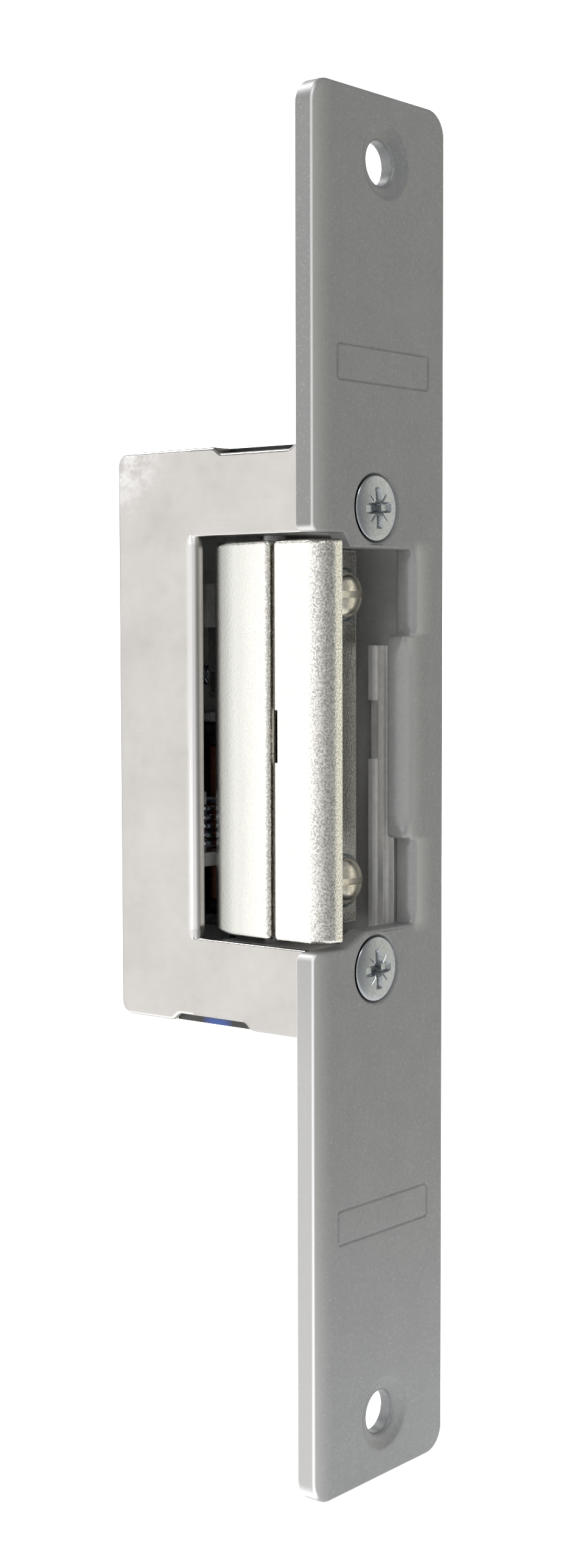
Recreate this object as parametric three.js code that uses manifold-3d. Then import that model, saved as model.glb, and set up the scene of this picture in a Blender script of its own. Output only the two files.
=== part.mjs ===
// Electric door strike: a faceplate, a sheet-steel cover over a die-cast frame, a swinging keeper
// with an adjustable lip, a blocking pawl, and a solenoid with its armature and terminals.
//
// Millimetres. X runs across the faceplate, Y runs from the faceplate's front back into the door
// frame, Z runs up along the faceplate. The origin is the centre of the faceplate's front face.

import * as THREE from "three";
import * as BufferGeometryUtils from "three/addons/utils/BufferGeometryUtils.js";
import Module from "manifold-3d";

const wasm = await Module();
wasm.setup();

// ---------------------------------------------------------------- driving dimensions

const GAP = 0.3; // clearance between pieces that touch

const PLATE_LENGTH = 160;
const PLATE_WIDTH = 25;
const PLATE_THICKNESS = 2.5;
const PLATE_CORNER = 3;
const PLATE_EDGE = 0.4; // rounding along the plate's outline

const BODY_Z = 7; // the box sits above the faceplate's middle
const BODY_HEIGHT = 67.4;
const BODY_WIDTH = 21;
const BODY_BACK = 31.5;
const BODY_CORNER = 1.6;
const SHEET = 0.8; // the cover's sheet steel
const RIM = 1.3; // wall of the frame inside the cover

const NOTCH_HALF = 23.5; // keeper notch in the faceplate, half height
const NOTCH_X = -6.5;
const OPENING_HALF = 21.9; // latch opening, half height
const OPENING_X = 6.3; // its wall away from the keeper
const OPENING_ROUND = 1.1;
const TONGUE_X = 4.5; // the wall's middle stretch stands further in, with a larger round
const TONGUE_ROUND = 2;
const TONGUE_Z = [-4.8, 19];

const FIXING_HOLE = { x: 0.8, z: 72.5, r: 2.5, sink: 4.2, dish: 0.7 };
const STAMP = { x: 0.65, z: [49.5, -48.6], width: 17.6, height: 4.4, line: 0.4, depth: 0.25 };

const PIVOT = { x: -3.5, y: 13 }; // the keeper turns about this upright line
const KEEPER_HALF = 22.8;
const KEEPER_RADIUS = 6.9;
const KEEPER_FRONT = 8.1;
const KEEPER_SEAT = 9.5; // the recessed seat that the lip's leg slides on
const KEEPER_RIGHT = 4.4;

const LIP_SIDE = -10.5;
const LIP_INNER = -7;
const LIP_BACK = 7.3;
const LIP_NOSE = 2.4; // radius of the lip's outer front corner
const LEG_FRONT = 6.5;
const LEG_BACK = 9.2;
const LEG_HALF = 22;
const LEG_LEFT = -7.4;
const LIP_TRAVEL = [-0.6, 1.5]; // adjustment, inward and outward from the middle setting

const LIP_SCREW = { x: 0.7, dz: 16.75, head: 2.7, shank: 1.9 };
const BODY_SCREW = { x: -0.7, dz: 26.5, head: 3.75, shank: 1.9, end: 10.4 };

const TOOTH_Z = [12, 15];
const PAWL_PIVOT = { y: 25.6, z: 22.6 };
const PAWL_X = [-1.5, 3];

const COIL = { x: 3.4, y: 23.2, low: -14.5, high: 6.8, radius: 4.5 };
const SPRING_POST = { x: -6.6, y: 22.6 };

// ---------------------------------------------------------------- materials

const material = (color, roughness, metalness) =>
  new THREE.MeshStandardMaterial({ color, roughness, metalness });

const PAINT = material(0x8d8e8c, 0.55, 0.4);
const BRUSHED = material(0xd2cfcd, 0.35, 1);
const NICKEL = material(0xd8d5c8, 0.3, 1);
const DIECAST = material(0x8f8f8d, 0.55, 0.9);
const ZINC = material(0xa9b2ba, 0.25, 1);
const STEEL = material(0x9a9b9d, 0.4, 1);
const SPRING_STEEL = material(0x8d97a6, 0.2, 1);
const BRASS = material(0xb89a55, 0.35, 1);
const COPPER = material(0x9c4f2c, 0.4, 0.8);
const BLUE_PLASTIC = material(0x2f5fae, 0.5, 0);
const BLACK_PLASTIC = material(0x1b1b1d, 0.6, 0);
const LEAD_PLASTIC = material(0x2b2b2e, 0.6, 0);

// ---------------------------------------------------------------- solids and booleans

// A geometry as a closed solid, with only its merged positions.
function solid(geometry) {
  const plain = geometry.index ? geometry.toNonIndexed() : geometry.clone();
  for (const name of Object.keys(plain.attributes)) {
    if (name !== "position") plain.deleteAttribute(name);
  }
  const merged = BufferGeometryUtils.mergeVertices(plain, 1e-4);
  return new wasm.Manifold(
    new wasm.Mesh({
      numProp: 3,
      vertProperties: new Float32Array(merged.attributes.position.array),
      triVerts: new Uint32Array(merged.index.array),
    }),
  );
}

// A solid back as a geometry.
function geometryOf(manifold) {
  const mesh = manifold.getMesh();
  const geometry = new THREE.BufferGeometry();
  geometry.setAttribute("position", new THREE.BufferAttribute(mesh.vertProperties, 3));
  geometry.setIndex(new THREE.BufferAttribute(mesh.triVerts, 1));
  const faceted = geometry.toNonIndexed();
  faceted.computeVertexNormals();
  return faceted;
}

const join = (...parts) => parts.reduce((whole, part) => whole.add(part));
const cut = (body, ...tools) => tools.reduce((whole, tool) => whole.subtract(tool), body);

// A box from its low and high corners.
function box(x0, x1, y0, y1, z0, z1) {
  const geometry = new THREE.BoxGeometry(x1 - x0, y1 - y0, z1 - z0);
  geometry.translate((x0 + x1) / 2, (y0 + y1) / 2, (z0 + z1) / 2);
  return solid(geometry);
}

// A round bar along an axis, from one end to the other.
function bar(axis, a, b, r, from, to, segments = 24) {
  const geometry = new THREE.CylinderGeometry(r, r, to - from, segments);
  const middle = (from + to) / 2;
  if (axis === "x") geometry.rotateZ(Math.PI / 2).translate(middle, a, b);
  if (axis === "y") geometry.translate(a, middle, b);
  if (axis === "z") geometry.rotateX(Math.PI / 2).translate(a, b, middle);
  return solid(geometry);
}

// A turned shape about a line parallel to Y, from [radius, y] points.
function turnedAboutY(x, z, profile, segments = 28) {
  const points = profile.map(([r, y]) => new THREE.Vector2(r, y));
  return solid(new THREE.LatheGeometry(points, segments).translate(x, 0, z));
}

// A turned shape about an upright line, from [radius, z] points.
function turnedAboutZ(x, y, profile, segments = 24) {
  const points = profile.map(([r, z]) => new THREE.Vector2(r, z));
  return solid(new THREE.LatheGeometry(points, segments).rotateX(Math.PI / 2).translate(x, y, 0));
}

// A plan outline (X, Y) raised between two heights.
function raised(shape, z0, z1, curveSegments = 4) {
  const geometry = new THREE.ExtrudeGeometry(shape, {
    depth: z1 - z0,
    bevelEnabled: false,
    curveSegments,
  });
  return solid(geometry.translate(0, 0, z0));
}

// A front-view outline (X, Z) given depth from y0 back to y1, with rounded long edges.
function deepened(shape, y0, y1, edge = 0) {
  const geometry = new THREE.ExtrudeGeometry(shape, {
    depth: y1 - y0 - 2 * edge,
    bevelEnabled: edge > 0,
    bevelThickness: edge,
    bevelSize: edge,
    bevelOffset: -edge,
    bevelSegments: 2,
    curveSegments: 3,
  });
  // The extrusion's +Z becomes -Y, so the shape's Y becomes Z.
  return solid(geometry.rotateX(Math.PI / 2).translate(0, y1 - edge, 0));
}

// A side-view outline (Y, Z) given width from x0 to x1, with rounded long edges.
function widened(shape, x0, x1, edge = 0) {
  const geometry = new THREE.ExtrudeGeometry(shape, {
    depth: x1 - x0 - 2 * edge,
    bevelEnabled: edge > 0,
    bevelThickness: edge,
    bevelSize: edge,
    bevelOffset: -edge,
    bevelSegments: 2,
    curveSegments: 3,
  });
  geometry.rotateX(Math.PI / 2).rotateZ(Math.PI / 2);
  return solid(geometry.translate(x0 + edge, 0, 0));
}

// A closed round wire along a curve.
function wire(curve, radius, steps, sides) {
  const section = new THREE.Shape();
  section.absarc(0, 0, radius, 0, 2 * Math.PI);
  return new THREE.ExtrudeGeometry(section, {
    steps,
    curveSegments: sides,
    bevelEnabled: false,
    extrudePath: curve,
  });
}

const group = new THREE.Group();

function piece(name, shape, look) {
  const geometry = shape.isBufferGeometry ? shape : geometryOf(shape);
  const mesh = new THREE.Mesh(geometry, look);
  mesh.name = name;
  group.add(mesh);
}

const polygon = (points) => new THREE.Shape(points.map(([a, b]) => new THREE.Vector2(a, b)));

// ---------------------------------------------------------------- faceplate

// The outline in front view: a bar with round corners and a bay on the keeper's side, which is
// the keeper notch and the latch opening together.
function faceplateOutline() {
  const w = PLATE_WIDTH / 2;
  const h = PLATE_LENGTH / 2;
  const c = PLATE_CORNER;
  const bay = OPENING_X + 1.3; // the wall strips finish the bay's far side
  const step = 1;
  const notchLow = BODY_Z - NOTCH_HALF;
  const notchHigh = BODY_Z + NOTCH_HALF;
  const openLow = BODY_Z - OPENING_HALF;
  const openHigh = BODY_Z + OPENING_HALF;
  const s = new THREE.Shape();
  s.moveTo(-w + c, -h);
  s.lineTo(w - c, -h);
  s.absarc(w - c, -h + c, c, -Math.PI / 2, 0);
  s.lineTo(w, h - c);
  s.absarc(w - c, h - c, c, 0, Math.PI / 2);
  s.lineTo(-w + c, h);
  s.absarc(-w + c, h - c, c, Math.PI / 2, Math.PI);
  s.lineTo(-w, notchHigh + step);
  s.absarc(-w + step, notchHigh + step, step, Math.PI, 1.5 * Math.PI);
  s.lineTo(NOTCH_X, notchHigh);
  s.lineTo(NOTCH_X + 1.2, openHigh);
  s.lineTo(bay, openHigh);
  s.lineTo(bay, openLow);
  s.lineTo(NOTCH_X + 3.6, openLow);
  s.lineTo(NOTCH_X, notchLow);
  s.lineTo(-w + step, notchLow);
  s.absarc(-w + step, notchLow - step, step, Math.PI / 2, Math.PI);
  s.lineTo(-w, -h + c);
  s.absarc(-w + c, -h + c, c, Math.PI, 1.5 * Math.PI);
  return s;
}

// One stretch of the opening's far wall, with its front corner rounded.
function wallStrip(x, round, z0, z1) {
  const s = new THREE.Shape();
  s.moveTo(x, PLATE_THICKNESS);
  s.lineTo(x, round);
  s.absarc(x + round, round, round, Math.PI, 1.5 * Math.PI);
  s.lineTo(OPENING_X + 2.6, 0);
  s.lineTo(OPENING_X + 2.6, PLATE_THICKNESS);
  return raised(s, z0, z1);
}

function stampFrame(z) {
  const { x, width, height, line, depth } = STAMP;
  const half = width / 2;
  const tall = height / 2;
  const outer = box(x - half, x + half, -1, depth, z - tall, z + tall);
  const inner = box(x - half + line, x + half - line, -2, 2, z - tall + line, z + tall - line);
  return cut(outer, inner);
}

// Cuts for a countersunk hole: a cone at the front, as deep as stated, and a bore behind it.
function countersink(x, z, sink, bore, depth = sink - bore) {
  const flare = (sink - bore) / depth;
  return turnedAboutY(x, z, [[0, -1], [sink + flare, -1], [bore, depth], [bore, 9], [0, 9]], 32);
}

let faceplate = deepened(faceplateOutline(), 0, PLATE_THICKNESS, PLATE_EDGE);
faceplate = join(
  faceplate,
  wallStrip(OPENING_X, OPENING_ROUND, TONGUE_Z[1] - 0.5, BODY_Z + OPENING_HALF + 1),
  wallStrip(TONGUE_X, TONGUE_ROUND, TONGUE_Z[0], TONGUE_Z[1]),
  wallStrip(OPENING_X, OPENING_ROUND, BODY_Z - OPENING_HALF - 1, TONGUE_Z[0] + 0.5),
);
for (const side of [1, -1]) {
  const hole = FIXING_HOLE;
  const fixing = countersink(hole.x, side * hole.z, hole.sink, hole.r, hole.dish);
  const z = BODY_Z + side * BODY_SCREW.dz;
  const clamp = countersink(BODY_SCREW.x, z, BODY_SCREW.head + 0.35, BODY_SCREW.shank + GAP);
  faceplate = cut(faceplate, fixing, clamp);
}
for (const z of STAMP.z) faceplate = cut(faceplate, stampFrame(z));
piece("faceplate", faceplate, PAINT);

// ---------------------------------------------------------------- cover

const SIDE = -BODY_WIDTH / 2;
const TOP = BODY_Z + BODY_HEIGHT / 2;
const BOTTOM = BODY_Z - BODY_HEIGHT / 2;
const FRONT = PLATE_THICKNESS + GAP;
const COVER_EDGE = 7.4; // how far the cover's flanges reach across
const WINDOW_BACK = 19;
const TOP_SLOT = [5, 15.2];
const BOTTOM_SLOT = [12, 22];
const SLOT_RISE = 1.2;
const TOP_SLOT_END = -7; // the slots stop here across the flanges
const TOP_POCKET_END = -2; // the frame's pocket under the upper slot runs further
const BOTTOM_SLOT_END = 4.4;

// The box in side view (Y, Z), with round corners at the back.
function boxOutline(inset) {
  const back = BODY_BACK - inset;
  const low = BOTTOM + inset;
  const high = TOP - inset;
  const c = BODY_CORNER - inset;
  const s = new THREE.Shape();
  s.moveTo(FRONT, low);
  s.lineTo(back - c, low);
  s.absarc(back - c, low + c, c, -Math.PI / 2, 0);
  s.lineTo(back, high - c);
  s.absarc(back - c, high - c, c, 0, Math.PI / 2);
  s.lineTo(FRONT, high);
  return s;
}

// A trapezium cut in the cover's upper or lower edge, wider at the edge, reaching across to far.
function slotCut(span, edgeZ, side, far) {
  const [y0, y1] = span;
  const rise = -side * SLOT_RISE;
  const past = edgeZ + side * 2;
  const s = polygon([[y0 - 1, past], [y1 + 1, past], [y1 + 1, edgeZ], [y1, edgeZ + rise],
    [y0, edgeZ + rise], [y0 - 1, edgeZ]]);
  return widened(s, SIDE - 1, far);
}

// The window's back edge is turned in with a round bend.
function windowLip() {
  const s = new THREE.Shape();
  const r = 1.5;
  const y = WINDOW_BACK + r;
  s.moveTo(SIDE, y);
  s.absarc(SIDE + r, y, r, Math.PI, 1.5 * Math.PI);
  s.lineTo(SIDE + r, WINDOW_BACK + SHEET);
  s.absarc(SIDE + r, y, r - SHEET, 1.5 * Math.PI, Math.PI, true);
  return raised(s, BODY_Z - NOTCH_HALF - 0.2, BODY_Z + NOTCH_HALF + 0.2, 3);
}

let cover = widened(boxOutline(0), SIDE, BODY_WIDTH / 2, 0.6);
cover = cut(
  cover,
  box(COVER_EDGE, 20, -5, 40, BOTTOM - 5, TOP + 5),
  widened(boxOutline(SHEET), SIDE + SHEET, BODY_WIDTH / 2 + 4),
  box(SIDE - 5, 20, -5, FRONT + 0.05, BOTTOM - 5, TOP + 5),
  box(SIDE - 1, SIDE + 1.2, -1, WINDOW_BACK + 1.5, BODY_Z - NOTCH_HALF, BODY_Z + NOTCH_HALF),
  slotCut(TOP_SLOT, TOP, 1, TOP_SLOT_END),
  slotCut(BOTTOM_SLOT, BOTTOM, -1, BOTTOM_SLOT_END),
);
cover = join(cover, windowLip());
const COVER_SCREW_DZ = 27;
for (const side of [1, -1]) {
  const z = BODY_Z + side * COVER_SCREW_DZ;
  cover = cut(cover, bar("y", 0, z, 1.6, BODY_BACK - 2, BODY_BACK + 1));
}
piece("cover", cover, BRUSHED);

// ---------------------------------------------------------------- frame

const INSET = SHEET + GAP; // frame inside the cover
const WALL_X = 8.7; // inner face of the frame's closed side
const IN_BACK = BODY_BACK - INSET - 1; // inner face of its back
const LUG_Z = [BODY_Z - NOTCH_HALF - 0.3, BODY_Z + NOTCH_HALF + 0.1];

let frame = widened(boxOutline(INSET), SIDE + INSET, BODY_WIDTH / 2 - 0.8);
frame = join(frame, cut(widened(boxOutline(0), COVER_EDGE + GAP, BODY_WIDTH / 2, 0.6),
  box(0, 20, -5, FRONT, BOTTOM - 5, TOP + 5)));
// The cavity, open to the keeper's side and to the front between the two lugs.
frame = cut(
  frame,
  box(SIDE - 1, WALL_X, FRONT + 1.7, IN_BACK, BOTTOM + INSET + RIM, TOP - INSET - RIM),
  box(SIDE - 1, WALL_X, -1, FRONT + 3, LUG_Z[0], LUG_Z[1]),
  box(SIDE - 1, TOP_POCKET_END, TOP_SLOT[0], TOP_SLOT[1], TOP - 4, TOP + 1),
  box(SIDE - 1, 3.4, BOTTOM_SLOT[0] + 0.9, BOTTOM_SLOT[1] - 0.9, BOTTOM - 1, BOTTOM + 4),
);
// Blocks behind the faceplate take its screws, and lugs take the ends of the keeper's pin.
frame = join(
  frame,
  box(-6.8, WALL_X + 1, FRONT, 11.6, LUG_Z[1], TOP - INSET - 1),
  box(-8, WALL_X + 1, FRONT, 17.4, LUG_Z[1], LUG_Z[1] + 2.4),
  box(-6.8, WALL_X + 1, FRONT, 11.6, BOTTOM + INSET + 1, LUG_Z[0]),
  box(-8, WALL_X + 1, FRONT, 17.4, LUG_Z[0] - 2.2, LUG_Z[0]),
);
// The stepped guide on the latch pocket's far wall.
const GUIDE_Z = [LUG_Z[0] - 1, 17.8];
frame = join(
  frame,
  box(6.9, WALL_X + 1, FRONT, 6.6, GUIDE_Z[0], GUIDE_Z[1]),
  box(6.3, WALL_X, FRONT, 3.4, GUIDE_Z[0], GUIDE_Z[1]),
  box(6.3, WALL_X, 4.3, 5.1, GUIDE_Z[0], GUIDE_Z[1]),
  box(6.3, WALL_X, 5.9, 6.6, GUIDE_Z[0], 4.3),
  box(6.3, WALL_X, 5.9, 6.6, 11.3, GUIDE_Z[1]),
);
// Shelf for the keeper's spring, with its post and its stop, standing out from the back wall.
const SHELF_Z = [-8.4, -6.8];
frame = join(
  frame,
  box(-9.2, -2.2, 20.6, IN_BACK + 0.5, SHELF_Z[0], SHELF_Z[1]),
  bar("z", SPRING_POST.x, SPRING_POST.y, 1.25, SHELF_Z[0] + 0.5, 0.4),
  box(-9, -4.1, 25.9, IN_BACK + 0.5, SHELF_Z[1] - 0.5, -4.4),
  box(-3.9, -1.5, 26, IN_BACK + 0.5, SHELF_Z[1] - 0.5, 0),
);
// Ears for the pawl's pin, from the back wall.
for (const [x0, x1] of [[-4.1, -1.9], [3.4, 5.6]]) {
  frame = join(frame, box(x0, x1, 22.9, IN_BACK + 0.5, PAWL_PIVOT.z - 2.6, PAWL_PIVOT.z + 2.6));
}
// Pad under the solenoid's yoke.
frame = join(frame, box(0.4, WALL_X + 0.5, 19, IN_BACK + 0.5, -19, COIL.low - 2.1));
// Holes for the pins and screws.
frame = cut(
  frame,
  bar("z", PIVOT.x, PIVOT.y, 1.55, LUG_Z[0] - 5, TOP - INSET - RIM - 1),
  bar("x", PAWL_PIVOT.y, PAWL_PIVOT.z, 1.05, -6, 7),
  bar("z", COIL.x, COIL.y, 1.3, -18, -10),
);
for (const side of [1, -1]) {
  const z = BODY_Z + side * BODY_SCREW.dz;
  frame = cut(frame, bar("y", BODY_SCREW.x, z, BODY_SCREW.shank + GAP, 0, BODY_SCREW.end + 0.4));
  const cz = BODY_Z + side * COVER_SCREW_DZ;
  frame = cut(frame, bar("y", 0, cz, 1.3, BODY_BACK - 6, BODY_BACK + 1));
}
piece("frame", frame, DIECAST);

// ---------------------------------------------------------------- keeper

function keeperPlan() {
  const start = Math.PI / 4;
  const s = new THREE.Shape();
  s.moveTo(LIP_SIDE + 0.1, KEEPER_FRONT);
  s.lineTo(-9.3, KEEPER_FRONT);
  s.lineTo(-9.3, KEEPER_SEAT);
  s.lineTo(KEEPER_RIGHT, KEEPER_SEAT);
  s.lineTo(KEEPER_RIGHT, 14.2);
  s.absarc(PIVOT.x, PIVOT.y, KEEPER_RADIUS, start, Math.PI);
  return s;
}

let keeper = raised(keeperPlan(), BODY_Z - KEEPER_HALF, BODY_Z + KEEPER_HALF, 9);
// The tooth at the back, which the pawl holds.
const tooth = polygon([[-5.4, 18], [-1.9, 18], [-1.9, 22], [-4.6, 22], [-5.4, 21.2]]);
keeper = join(keeper, raised(tooth, TOOTH_Z[0], TOOTH_Z[1]));
keeper = cut(
  keeper,
  bar("z", PIVOT.x, PIVOT.y, 1.58, -40, 60),
  box(-5.6, -3.4, 18.4, 21, -2.8, 0.6), // the spring's leg bears in this notch
);
for (const side of [1, -1]) {
  const z = BODY_Z + side * LIP_SCREW.dz;
  keeper = cut(keeper, bar("y", LIP_SCREW.x, z, LIP_SCREW.shank + 0.25, 8, 14.4));
}
piece("keeper", keeper, NICKEL);

piece("keeper_pin", bar("z", PIVOT.x, PIVOT.y, 1.5, LUG_Z[0] - 2.4, LUG_Z[1] + 3.4), STEEL);

// A torsion spring: close turns about the post, with a straight leg at each end.
class TorsionSpring extends THREE.Curve {
  constructor(turns, pitch, radius, low, legIn, legOut) {
    super();
    Object.assign(this, { turns, pitch, radius, low, legIn, legOut });
    this.coil = 2 * Math.PI * radius * turns;
    this.total = legIn + this.coil + legOut;
  }

  getPoint(t, target = new THREE.Vector3()) {
    const along = t * this.total;
    const high = this.low + this.turns * this.pitch;
    if (along < this.legIn) return target.set(this.radius, this.legIn - along, this.low);
    if (along > this.legIn + this.coil) {
      return target.set(this.radius, this.legIn + this.coil - along, high);
    }
    const turned = (along - this.legIn) / this.radius;
    const z = this.low + (turned / (2 * Math.PI)) * this.pitch;
    return target.set(this.radius * Math.cos(turned), -this.radius * Math.sin(turned), z);
  }
}

const keeperSpring = new TorsionSpring(5.0, 1.05, 2.1, -5.95, 3.0, 3.6);
piece(
  "keeper_spring",
  wire(keeperSpring, 0.42, 84, 3).translate(SPRING_POST.x, SPRING_POST.y, 0),
  SPRING_STEEL,
);

// ---------------------------------------------------------------- lip, its screws and washers

function lipPlan() {
  const s = new THREE.Shape();
  s.moveTo(LIP_SIDE, LIP_BACK);
  s.lineTo(LIP_SIDE, LIP_NOSE);
  s.absarc(LIP_SIDE + LIP_NOSE, LIP_NOSE, LIP_NOSE, Math.PI, 1.5 * Math.PI);
  s.lineTo(LIP_INNER, 0);
  s.lineTo(LIP_INNER, LIP_BACK);
  return s;
}

let lip = raised(lipPlan(), BODY_Z - KEEPER_HALF, BODY_Z + KEEPER_HALF);
lip = join(lip, box(LEG_LEFT, 4.2, LEG_FRONT, LEG_BACK, BODY_Z - LEG_HALF, BODY_Z + LEG_HALF));
// A small relief in the lip's back corner.
lip = cut(lip, box(LIP_SIDE - 1, LIP_SIDE + 0.5, LIP_BACK - 0.35, LIP_BACK + 1, 4.6, 10.6));
for (const side of [1, -1]) {
  const z = BODY_Z + side * LIP_SCREW.dz;
  const half = LIP_SCREW.shank + GAP;
  const x0 = LIP_SCREW.x + LIP_TRAVEL[0];
  const x1 = LIP_SCREW.x + LIP_TRAVEL[1];
  lip = cut(
    lip,
    box(x0, x1, 5, 10, z - half, z + half),
    bar("y", x0, z, half, 5, 10),
    bar("y", x1, z, half, 5, 10),
  );
}
piece("keeper_lip", lip, NICKEL);

const WASHER = { r: 3.2, y: [5.75, 6.25] };
for (const [name, side] of [["upper", 1], ["lower", -1]]) {
  const z = BODY_Z + side * LIP_SCREW.dz;
  const [y0, y1] = WASHER.y;
  const bore = LIP_SCREW.shank + 0.2;
  const ring = [[bore, y0], [WASHER.r, y0], [WASHER.r, y1], [bore, y1], [bore, y0]];
  piece(`lip_washer_${name}`, turnedAboutY(LIP_SCREW.x, z, ring), ZINC);
  // Domed head with a slot, then the shank into the keeper.
  const seat = y0 - 0.25;
  const profile = [[0, seat - 1.1], [1.1, seat - 1.05], [2, seat - 0.8], [2.55, seat - 0.4],
    [LIP_SCREW.head, seat], [LIP_SCREW.shank, seat], [LIP_SCREW.shank, 14], [0, 14]];
  const screw = turnedAboutY(LIP_SCREW.x, z, profile);
  const slot = box(LIP_SCREW.x - 4, LIP_SCREW.x + 4, seat - 3, seat - 0.5, z - 0.4, z + 0.4);
  piece(`lip_screw_${name}`, cut(screw, slot), NICKEL);
}

// ---------------------------------------------------------------- screws through the faceplate

// A cross recess: two tapered slots at right angles.
function crossRecess(x, z, front, depth, reach) {
  const tools = [];
  for (const turn of [0, Math.PI / 2]) {
    const wedge = new THREE.CylinderGeometry(reach, reach * 0.45, depth + 1, 4);
    wedge.rotateY(Math.PI / 4).scale(1, 1, 0.28).rotateX(Math.PI);
    wedge.rotateY(turn).translate(x, front + (depth - 1) / 2, z);
    tools.push(solid(wedge));
  }
  return tools;
}

for (const [name, side] of [["upper", 1], ["lower", -1]]) {
  const z = BODY_Z + side * BODY_SCREW.dz;
  const { x, head, shank, end } = BODY_SCREW;
  const profile = [[0, -0.4], [1.3, -0.36], [2.5, -0.23], [3.4, -0.06], [head, 0.05],
    [head, 0.15], [shank, head - shank + 0.15], [shank, end], [0, end]];
  const screw = turnedAboutY(x, z, profile, 32);
  piece(`body_screw_${name}`, cut(screw, ...crossRecess(x, z, -0.35, 1.5, 2.3)), ZINC);
}

for (const [name, side] of [["upper", 1], ["lower", -1]]) {
  const z = BODY_Z + side * COVER_SCREW_DZ;
  const profile = [[0, 25.8], [1, 25.8], [1, BODY_BACK - 0.55], [1.3, BODY_BACK - 0.5],
    [1.3, BODY_BACK], [0, BODY_BACK]];
  const screw = turnedAboutY(0, z, profile, 24);
  const slot = box(-2, 2, BODY_BACK - 0.3, BODY_BACK + 1, z - 0.2, z + 0.2);
  piece(`cover_screw_${name}`, cut(screw, slot), ZINC);
}

// ---------------------------------------------------------------- pawl and its pin and spring

const PAWL_LOW = TOOTH_Z[0] - 0.5;
// In side view: an arm that hangs from its boss and widens forward into the toe.
const toe = polygon([[PAWL_X[0], 22.4], [1.9, 20.2], [PAWL_X[1], 20.2], [PAWL_X[1], 25],
  [PAWL_X[0], 25]]);
let pawl = raised(toe, PAWL_LOW, TOOTH_Z[1] + 0.6);
pawl = join(
  pawl,
  box(PAWL_X[0], PAWL_X[1], 22.9, 25, TOOTH_Z[1], PAWL_PIVOT.z),
  bar("x", PAWL_PIVOT.y, PAWL_PIVOT.z, 2.2, PAWL_X[0], PAWL_X[1]),
);
pawl = cut(pawl, bar("x", PAWL_PIVOT.y, PAWL_PIVOT.z, 1.06, -6, 7));
piece("pawl", pawl, STEEL);
piece("pawl_pin", bar("x", PAWL_PIVOT.y, PAWL_PIVOT.z, 1, -4.1, 5.6), ZINC);

// A compression spring along one axis, with a helix of open turns.
class CompressionSpring extends THREE.Curve {
  constructor(turns, length, radius) {
    super();
    Object.assign(this, { turns, length, radius });
  }

  getPoint(t, target = new THREE.Vector3()) {
    const angle = 2 * Math.PI * this.turns * t;
    const { radius, length } = this;
    return target.set(radius * Math.cos(angle), radius * Math.sin(angle), length * t);
  }
}

const pawlSpring = wire(new CompressionSpring(4, 3.3, 1.1), 0.2, 36, 3);
pawlSpring.rotateX(-Math.PI / 2).translate((PAWL_X[0] + PAWL_X[1]) / 2, 25.5, 14.2);
piece("pawl_spring", pawlSpring, SPRING_STEEL);

// ---------------------------------------------------------------- solenoid

const POLE_TOP = COIL.high + 0.9;
const YOKE_BACK = [COIL.y + COIL.radius + 0.5, IN_BACK - GAP];
const FLANGE_RADIUS = COIL.radius + 0.1;

let bobbin = join(
  bar("z", COIL.x, COIL.y, 2.7, COIL.low, COIL.high),
  bar("z", COIL.x, COIL.y, FLANGE_RADIUS, COIL.low, COIL.low + 1, 40),
  bar("z", COIL.x, COIL.y, FLANGE_RADIUS, COIL.high - 1, COIL.high, 40),
);
bobbin = cut(bobbin, bar("z", COIL.x, COIL.y, 2.1, COIL.low - 1, COIL.high + 1));
piece("coil_bobbin", bobbin, BLACK_PLASTIC);

const windingLow = COIL.low + 1 + GAP;
const windingHigh = COIL.high - 1 - GAP;
piece(
  "coil_winding",
  cut(
    bar("z", COIL.x, COIL.y, COIL.radius, windingLow, windingHigh, 32),
    bar("z", COIL.x, COIL.y, 2.9, windingLow - 1, windingHigh + 1),
  ),
  COPPER,
);

const CORE_LOW = COIL.low - GAP;
piece(
  "coil_core",
  cut(
    turnedAboutZ(COIL.x, COIL.y, [[0, CORE_LOW], [1.85, CORE_LOW], [1.85, COIL.high + 0.1],
      [2.6, COIL.high + 0.3], [2.6, POLE_TOP], [0, POLE_TOP]]),
    bar("z", COIL.x, COIL.y, 1.25, CORE_LOW - 1, CORE_LOW + 4),
  ),
  STEEL,
);

// An L of strip steel: under the coil and up behind it.
const YOKE_TOP = POLE_TOP + 0.4;
const yoke = join(
  box(COIL.x - 4.2, COIL.x + 4.6, COIL.y - 3.2, YOKE_BACK[1], CORE_LOW - 1.5, CORE_LOW - GAP),
  box(COIL.x - 4.2, COIL.x + 4.6, YOKE_BACK[0], YOKE_BACK[1], CORE_LOW - 1.5, YOKE_TOP),
);
piece("coil_yoke", cut(yoke, bar("z", COIL.x, COIL.y, 1.3, -20, -10)), STEEL);

piece("yoke_screw", bar("z", COIL.x, COIL.y, 0.95, -17.8, CORE_LOW + 3.6), ZINC);

// The armature lies over the pole and rocks on the yoke's upper edge.
const ARMATURE_Z = [YOKE_TOP + GAP, YOKE_TOP + GAP + 1.4];
const armature = join(
  box(-0.6, 8, 19.9, IN_BACK - 0.4, ARMATURE_Z[0], ARMATURE_Z[1]),
  box(-3.9, 0, 25.4, IN_BACK - 0.4, ARMATURE_Z[0], ARMATURE_Z[1]),
  box(-0.6, 2.8, 22.6, 24, ARMATURE_Z[0], PAWL_LOW - 1.3),
);
piece("armature", armature, STEEL);

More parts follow.
